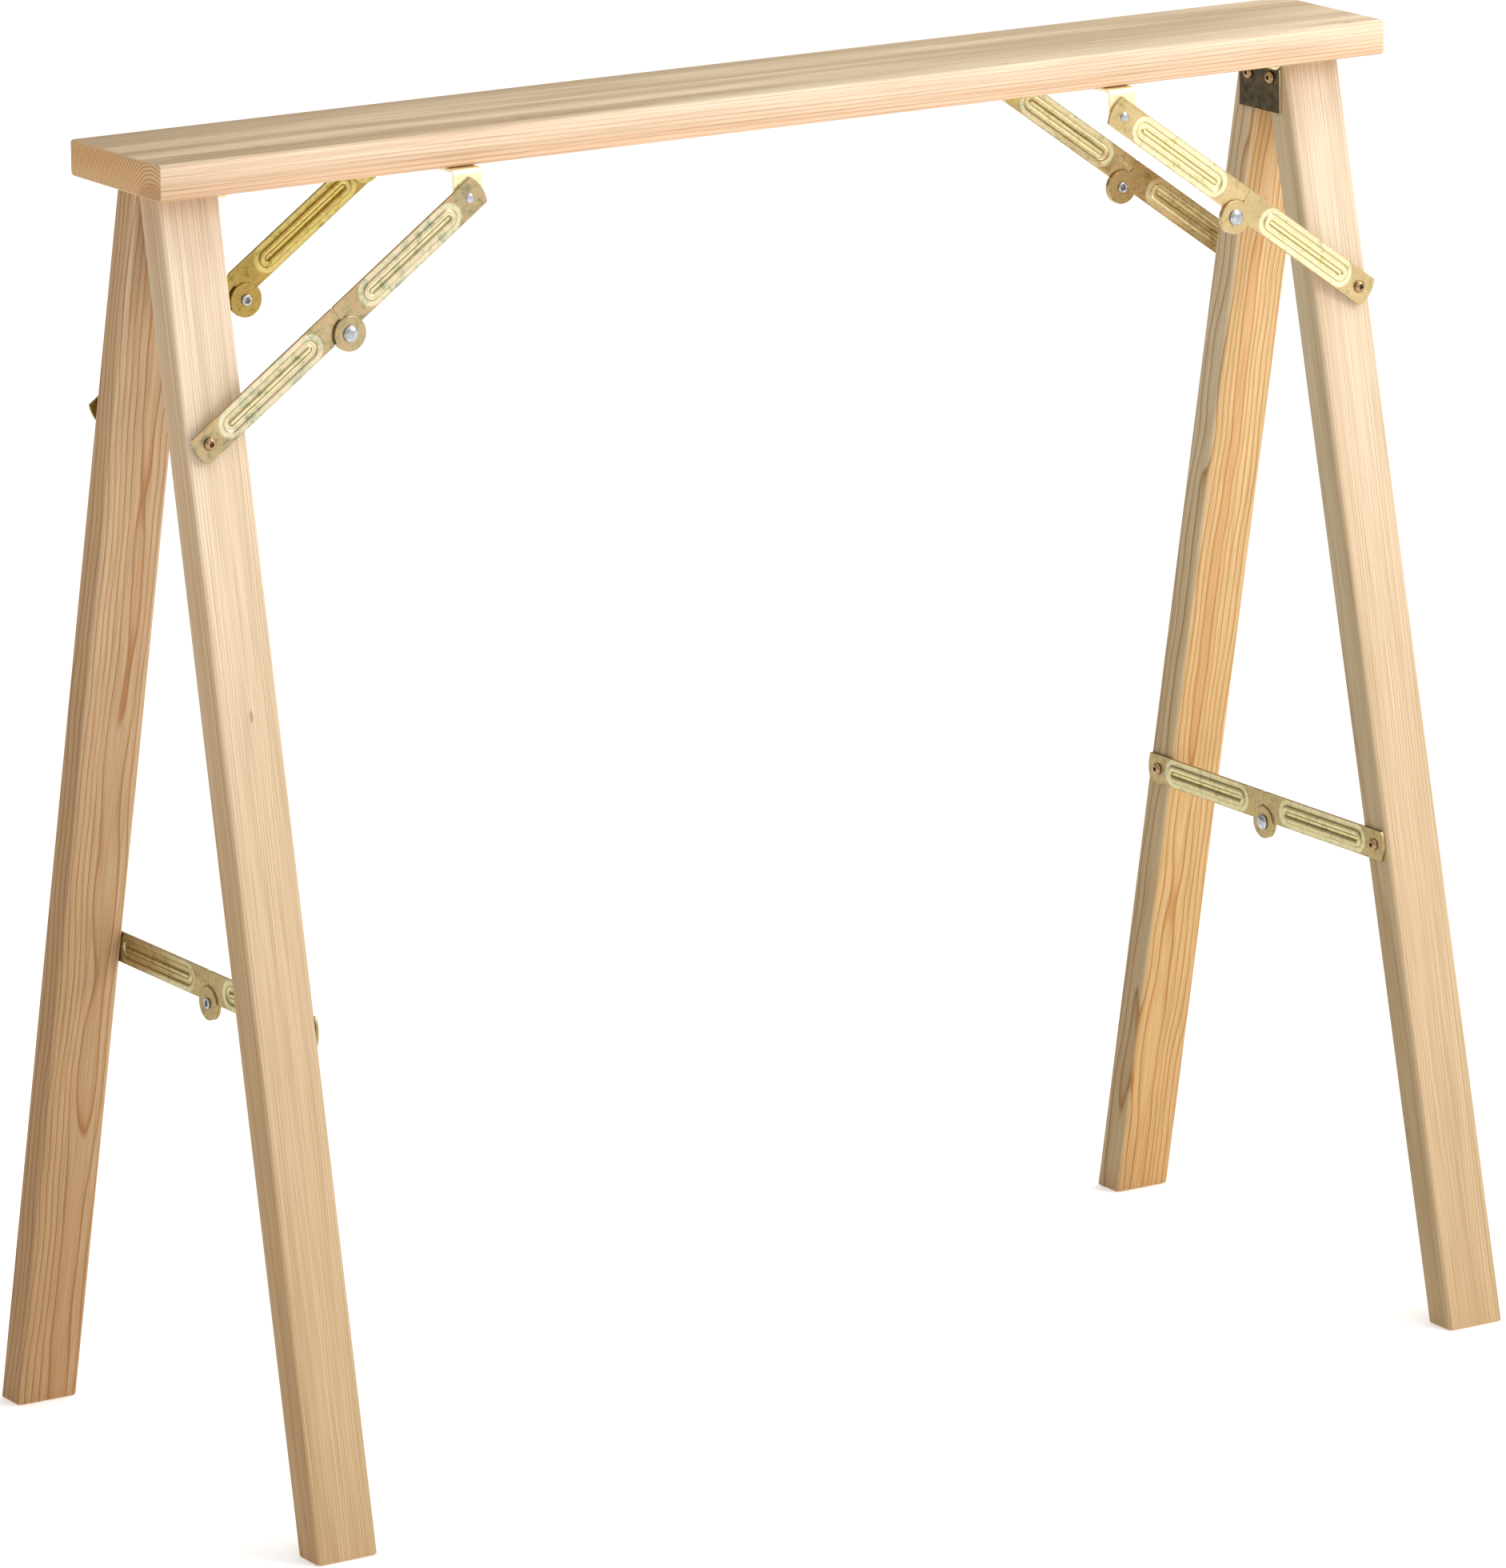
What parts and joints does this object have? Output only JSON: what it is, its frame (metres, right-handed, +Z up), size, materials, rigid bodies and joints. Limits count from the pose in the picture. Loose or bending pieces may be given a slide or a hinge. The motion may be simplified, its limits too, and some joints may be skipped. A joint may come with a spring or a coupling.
{
  "type": "folding sawhorse",
  "caption": "Folding sawhorse: planed pine beam on two pairs of splayed hinged legs, with jointed plated-steel stays that hold the legs open and fold with them.",
  "frame": {"origin": "on the floor, under the middle of the beam", "axes": "+X along the beam to the right, +Y to the back, +Z up"},
  "size_m": [1, 0.4526, 0.93],
  "materials": {
    "timber": "planed pine, unfinished",
    "zinc": "yellow-passivated zinc plating on pressed strip",
    "bronze": "dark yellow-brown plating",
    "steel": "bright rivet steel"
  },
  "bodies": {
    "beam": {"beam": "timber", "left_hinge_beam_leaf": "bronze", "left_hinge_pin": "steel", "left_front_hinge_screw": "bronze", "left_front_bracket": "zinc", "left_front_bracket_screw": "bronze", "left_front_top_rivet": "steel", "left_back_hinge_screw": "bronze", "left_back_bracket": "zinc", "left_back_bracket_screw": "bronze", "left_back_top_rivet": "steel", "right_hinge_beam_leaf": "bronze", "right_hinge_pin": "steel", "right_front_hinge_screw": "bronze", "right_front_bracket": "zinc", "right_front_bracket_screw": "bronze", "right_front_top_rivet": "steel", "right_back_hinge_screw": "bronze", "right_back_bracket": "zinc", "right_back_bracket_screw": "bronze", "right_back_top_rivet": "steel"},
    "left_leaf": {"left_hinge_leg_leaf": "bronze", "left_front_pivot_screw": "bronze", "left_back_pivot_screw": "bronze"},
    "left_back_leg": {"left_back_leg": "timber"},
    "left_front_leg": {"left_front_leg": "timber", "left_cross_front_screw": "bronze"},
    "left_cross_front_arm": {"left_cross_front_arm": "zinc", "left_cross_joint_rivet": "steel"},
    "left_cross_back_arm": {"left_cross_back_arm": "zinc", "left_cross_back_screw": "bronze"},
    "left_back_upper_arm": {"left_back_upper_arm": "zinc", "left_back_joint_rivet": "steel"},
    "left_back_lower_arm": {"left_back_lower_arm": "zinc", "left_back_leg_screw": "bronze"},
    "left_front_upper_arm": {"left_front_upper_arm": "zinc", "left_front_joint_rivet": "steel"},
    "left_front_lower_arm": {"left_front_lower_arm": "zinc", "left_front_leg_screw": "bronze"},
    "right_leaf": {"right_hinge_leg_leaf": "bronze", "right_front_pivot_screw": "bronze", "right_back_pivot_screw": "bronze"},
    "right_front_leg": {"right_front_leg": "timber"},
    "right_back_leg": {"right_back_leg": "timber", "right_cross_back_screw": "bronze"},
    "right_cross_back_arm": {"right_cross_back_arm": "zinc", "right_cross_joint_rivet": "steel"},
    "right_cross_front_arm": {"right_cross_front_arm": "zinc", "right_cross_front_screw": "bronze"},
    "right_front_upper_arm": {"right_front_upper_arm": "zinc", "right_front_joint_rivet": "steel"},
    "right_front_lower_arm": {"right_front_lower_arm": "zinc", "right_front_leg_screw": "bronze"},
    "right_back_upper_arm": {"right_back_upper_arm": "zinc", "right_back_joint_rivet": "steel"},
    "right_back_lower_arm": {"right_back_lower_arm": "zinc", "right_back_leg_screw": "bronze"}
  },
  "joints": [
    {"name": "fold_left", "type": "hinge", "parent": "beam", "child": "left_leaf", "pos_m": [-0.432, 0, 0.89995], "axis": [0, -1, 0], "range_deg": [0, 89]},
    {"name": "left_back_leg_turn", "type": "hinge", "parent": "left_leaf", "child": "left_back_leg", "pos_m": [-0.4372, 0.0135, 0.88801], "axis": [-0.9999, 0, 0.0122], "range_deg": [0, 6]},
    {"name": "close_left", "type": "hinge", "parent": "left_leaf", "child": "left_front_leg", "pos_m": [-0.4372, -0.0135, 0.88801], "axis": [0.9999, 0, -0.0122], "range_deg": [0, 6]},
    {"name": "left_cross_front_turn", "type": "hinge", "parent": "left_front_leg", "child": "left_cross_front_arm", "pos_m": [-0.44253, -0.13654, 0.34504], "axis": [0.9999, 0, -0.0122], "range_deg": [0, 53.78]},
    {"name": "left_cross_knee", "type": "hinge", "parent": "left_cross_front_arm", "child": "left_cross_back_arm", "pos_m": [-0.44268, 0, 0.33304], "axis": [-0.9999, 0, 0.0122], "range_deg": [0, 119.55]},
    {"name": "left_back_stay_top", "type": "hinge", "parent": "beam", "child": "left_back_upper_arm", "pos_m": [-0.268, 0.071, 0.885], "axis": [0, 1, 0], "range_deg": [0, 44.62]},
    {"name": "left_back_stay_knee", "type": "hinge", "parent": "left_back_upper_arm", "child": "left_back_lower_arm", "pos_m": [-0.3633, 0.071, 0.80292], "axis": [0, -1, 0], "range_deg": [0, 177.83]},
    {"name": "left_front_stay_top", "type": "hinge", "parent": "beam", "child": "left_front_upper_arm", "pos_m": [-0.268, -0.071, 0.885], "axis": [0, 1, 0], "range_deg": [0, 44.62]},
    {"name": "left_front_stay_knee", "type": "hinge", "parent": "left_front_upper_arm", "child": "left_front_lower_arm", "pos_m": [-0.3633, -0.071, 0.80292], "axis": [0, -1, 0], "range_deg": [0, 177.83]},
    {"name": "fold_right", "type": "hinge", "parent": "beam", "child": "right_leaf", "pos_m": [0.432, 0, 0.89995], "axis": [0, 1, 0], "range_deg": [0, 74]},
    {"name": "right_front_leg_turn", "type": "hinge", "parent": "right_leaf", "child": "right_front_leg", "pos_m": [0.4372, -0.0135, 0.88801], "axis": [0.9999, 0, 0.0122], "range_deg": [0, 6]},
    {"name": "close_right", "type": "hinge", "parent": "right_leaf", "child": "right_back_leg", "pos_m": [0.4372, 0.0135, 0.88801], "axis": [-0.9999, 0, -0.0122], "range_deg": [0, 6]},
    {"name": "right_cross_back_turn", "type": "hinge", "parent": "right_back_leg", "child": "right_cross_back_arm", "pos_m": [0.44253, 0.13654, 0.34504], "axis": [-0.9999, 0, -0.0122], "range_deg": [0, 53.78]},
    {"name": "right_cross_knee", "type": "hinge", "parent": "right_cross_back_arm", "child": "right_cross_front_arm", "pos_m": [0.44268, 0, 0.33304], "axis": [0.9999, 0, 0.0122], "range_deg": [0, 119.55]},
    {"name": "right_front_stay_top", "type": "hinge", "parent": "beam", "child": "right_front_upper_arm", "pos_m": [0.268, -0.071, 0.885], "axis": [0, -1, 0], "range_deg": [0, 42.08]},
    {"name": "right_front_stay_knee", "type": "hinge", "parent": "right_front_upper_arm", "child": "right_front_lower_arm", "pos_m": [0.3633, -0.071, 0.80292], "axis": [0, 1, 0], "range_deg": [0, 158.01]},
    {"name": "right_back_stay_top", "type": "hinge", "parent": "beam", "child": "right_back_upper_arm", "pos_m": [0.268, 0.071, 0.885], "axis": [0, -1, 0], "range_deg": [0, 42.08]},
    {"name": "right_back_stay_knee", "type": "hinge", "parent": "right_back_upper_arm", "child": "right_back_lower_arm", "pos_m": [0.3633, 0.071, 0.80292], "axis": [0, 1, 0], "range_deg": [0, 158.01]}
  ],
  "couplings": [
    {"joint": "left_back_leg_turn", "follows": "close_left", "ratio": 1},
    {"joint": "left_cross_front_turn", "follows": "close_left", "ratio": 8.9623},
    {"joint": "left_cross_knee", "follows": "close_left", "ratio": 19.925},
    {"joint": "left_back_stay_top", "follows": "fold_left", "ratio": 0.50133},
    {"joint": "left_back_stay_knee", "follows": "fold_left", "ratio": 1.998},
    {"joint": "left_front_stay_top", "follows": "fold_left", "ratio": 0.50133},
    {"joint": "left_front_stay_knee", "follows": "fold_left", "ratio": 1.998},
    {"joint": "right_front_leg_turn", "follows": "close_right", "ratio": 1},
    {"joint": "right_cross_back_turn", "follows": "close_right", "ratio": 8.9623},
    {"joint": "right_cross_knee", "follows": "close_right", "ratio": 19.925},
    {"joint": "right_front_stay_top", "follows": "fold_right", "ratio": 0.56859},
    {"joint": "right_front_stay_knee", "follows": "fold_right", "ratio": 2.1352},
    {"joint": "right_back_stay_top", "follows": "fold_right", "ratio": 0.56859},
    {"joint": "right_back_stay_knee", "follows": "fold_right", "ratio": 2.1352}
  ]
}
